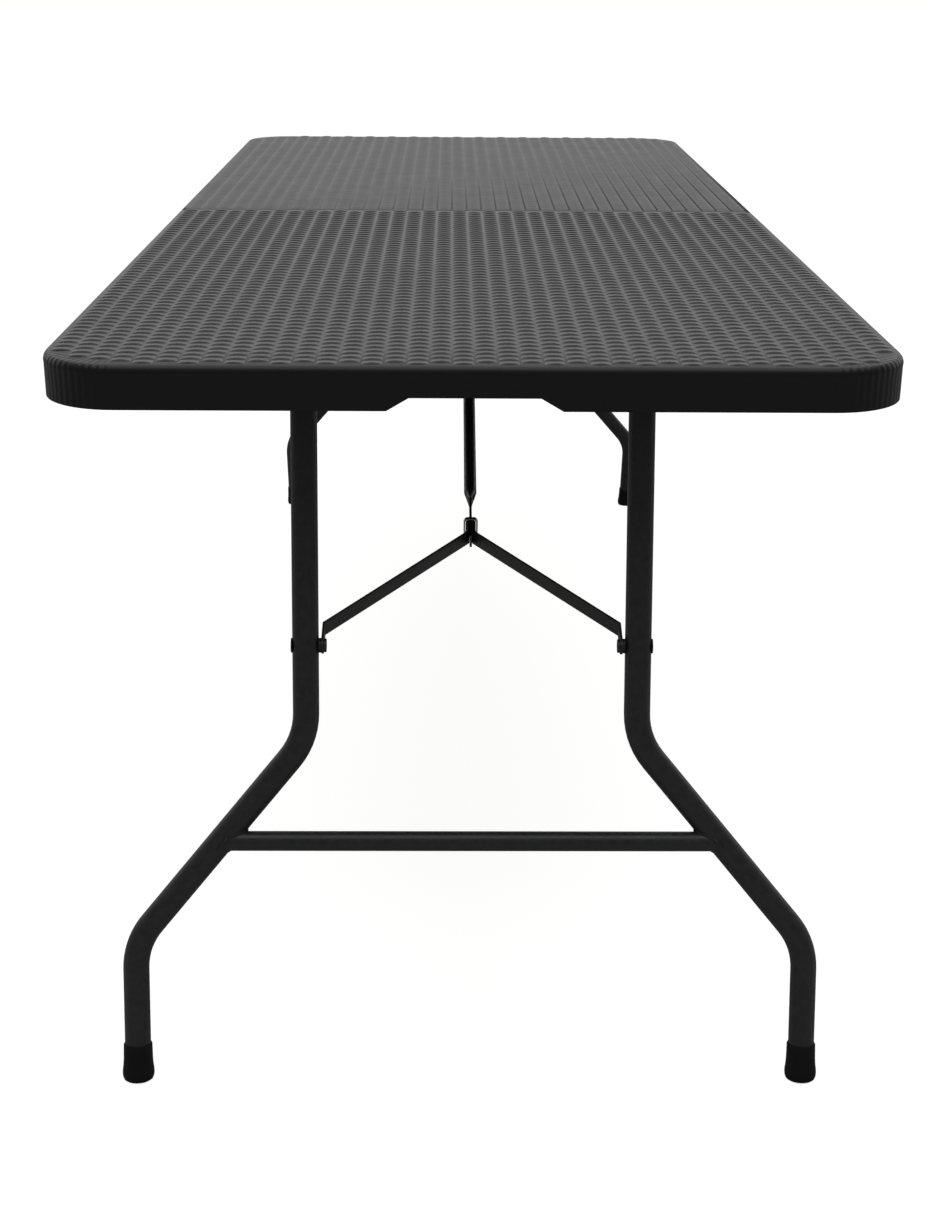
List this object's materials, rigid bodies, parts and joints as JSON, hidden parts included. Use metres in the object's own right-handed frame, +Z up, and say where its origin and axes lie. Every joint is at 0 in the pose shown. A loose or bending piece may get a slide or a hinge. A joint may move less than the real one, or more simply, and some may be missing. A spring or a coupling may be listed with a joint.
{
  "type": "folding table",
  "caption": "Half-folding banquet table: moulded woven-look tops hinged at mid length, with folding wishbone legs, crossbars, Y braces and lock rings.",
  "frame": {"origin": "on the floor below the middle of the table", "axes": "+Y along the table, from the front end to the rear end; +X across it; +Z up"},
  "size_m": [0.76, 1.8912, 0.7],
  "materials": {
    "moulded_top": "satin, woven relief on top",
    "black_steel": "black powder coat",
    "zinc_steel": "bright zinc plate",
    "foot_rubber": "matt",
    "bush_nylon": "satin"
  },
  "bodies": {
    "front_half": {"front_tabletop": "moulded_top", "front_left_side_rail": "black_steel", "front_right_side_rail": "black_steel", "front_left_pivot_bush": "bush_nylon", "front_right_pivot_bush": "bush_nylon", "front_strut_bracket": "black_steel", "front_strut_bracket_pin": "zinc_steel", "front_rail_screws": "zinc_steel", "front_bracket_screws": "zinc_steel", "left_hinge_front_leaf": "black_steel", "right_hinge_front_leaf": "black_steel", "left_hinge_pin": "zinc_steel", "right_hinge_pin": "zinc_steel"},
    "front_legs": {"front_leg_pivot_tube": "black_steel", "front_leg_crossbar": "black_steel", "front_brace_bolts": "black_steel", "front_left_leg_tube": "black_steel", "front_left_pivot_stub": "black_steel", "front_left_foot": "foot_rubber", "front_right_leg_tube": "black_steel", "front_right_pivot_stub": "black_steel", "front_right_foot": "foot_rubber"},
    "front_strut_link": {"front_strut": "black_steel"},
    "front_brace": {"front_left_brace_arm": "black_steel", "front_right_brace_arm": "black_steel", "front_brace_rivets": "black_steel", "front_brace_centre_rivet": "black_steel"},
    "front_ring": {"front_lock_ring": "zinc_steel"},
    "rear_half": {"rear_tabletop": "moulded_top", "rear_left_side_rail": "black_steel", "rear_right_side_rail": "black_steel", "rear_left_pivot_bush": "bush_nylon", "rear_right_pivot_bush": "bush_nylon", "rear_strut_bracket": "black_steel", "rear_strut_bracket_pin": "zinc_steel", "rear_rail_screws": "zinc_steel", "rear_bracket_screws": "zinc_steel", "left_hinge_rear_leaf": "black_steel", "right_hinge_rear_leaf": "black_steel"},
    "rear_legs": {"rear_leg_pivot_tube": "black_steel", "rear_leg_crossbar": "black_steel", "rear_brace_bolts": "black_steel", "rear_left_leg_tube": "black_steel", "rear_left_pivot_stub": "black_steel", "rear_left_foot": "foot_rubber", "rear_right_leg_tube": "black_steel", "rear_right_pivot_stub": "black_steel", "rear_right_foot": "foot_rubber"},
    "rear_strut_link": {"rear_strut": "black_steel"},
    "rear_brace": {"rear_left_brace_arm": "black_steel", "rear_right_brace_arm": "black_steel", "rear_brace_rivets": "black_steel", "rear_brace_centre_rivet": "black_steel"},
    "rear_ring": {"rear_lock_ring": "zinc_steel"}
  },
  "joints": [
    {"name": "fold_in_half", "type": "hinge", "parent": "front_half", "child": "rear_half", "pos_m": [0, 0, 0.6583], "axis": [-1, 0, 0], "range_deg": [0, 95]},
    {"name": "front_legs_fold", "type": "hinge", "parent": "front_half", "child": "front_legs", "pos_m": [0, -0.775, 0.671], "axis": [1, 0, 0], "range_deg": [0, 103]},
    {"name": "front_strut_swing", "type": "hinge", "parent": "front_half", "child": "front_strut_link", "pos_m": [0, -0.069, 0.687], "axis": [1, 0, 0], "range_deg": [-19.2, 0]},
    {"name": "front_brace_fold", "type": "hinge", "parent": "front_strut_link", "child": "front_brace", "pos_m": [0, -0.66054, 0.47721], "axis": [1, 0, 0], "range_deg": [0, 176.1]},
    {"name": "front_ring_slide", "type": "slide", "parent": "front_strut_link", "child": "front_ring", "axis": [0, 0.9425, 0.3343], "range_m": [0, 0.0421]},
    {"name": "rear_legs_fold", "type": "hinge", "parent": "rear_half", "child": "rear_legs", "pos_m": [0, 0.775, 0.671], "axis": [-1, 0, 0], "range_deg": [0, 103]},
    {"name": "rear_strut_swing", "type": "hinge", "parent": "rear_half", "child": "rear_strut_link", "pos_m": [0, 0.069, 0.687], "axis": [-1, 0, 0], "range_deg": [-19.2, 0]},
    {"name": "rear_brace_fold", "type": "hinge", "parent": "rear_strut_link", "child": "rear_brace", "pos_m": [0, 0.66054, 0.47721], "axis": [-1, 0, 0], "range_deg": [0, 176.1]},
    {"name": "rear_ring_slide", "type": "slide", "parent": "rear_strut_link", "child": "rear_ring", "axis": [0, -0.9425, 0.3343], "range_m": [0, 0.0421]}
  ],
  "couplings": [
    {"joint": "front_strut_swing", "follows": "front_legs_fold", "ratio": -0.1856},
    {"joint": "front_brace_fold", "follows": "front_legs_fold", "ratio": 1.7088},
    {"joint": "front_ring_slide", "follows": "front_legs_fold", "m_per_rad": 0.023363},
    {"joint": "rear_strut_swing", "follows": "rear_legs_fold", "ratio": -0.1856},
    {"joint": "rear_brace_fold", "follows": "rear_legs_fold", "ratio": 1.7088},
    {"joint": "rear_ring_slide", "follows": "rear_legs_fold", "m_per_rad": 0.023363}
  ]
}
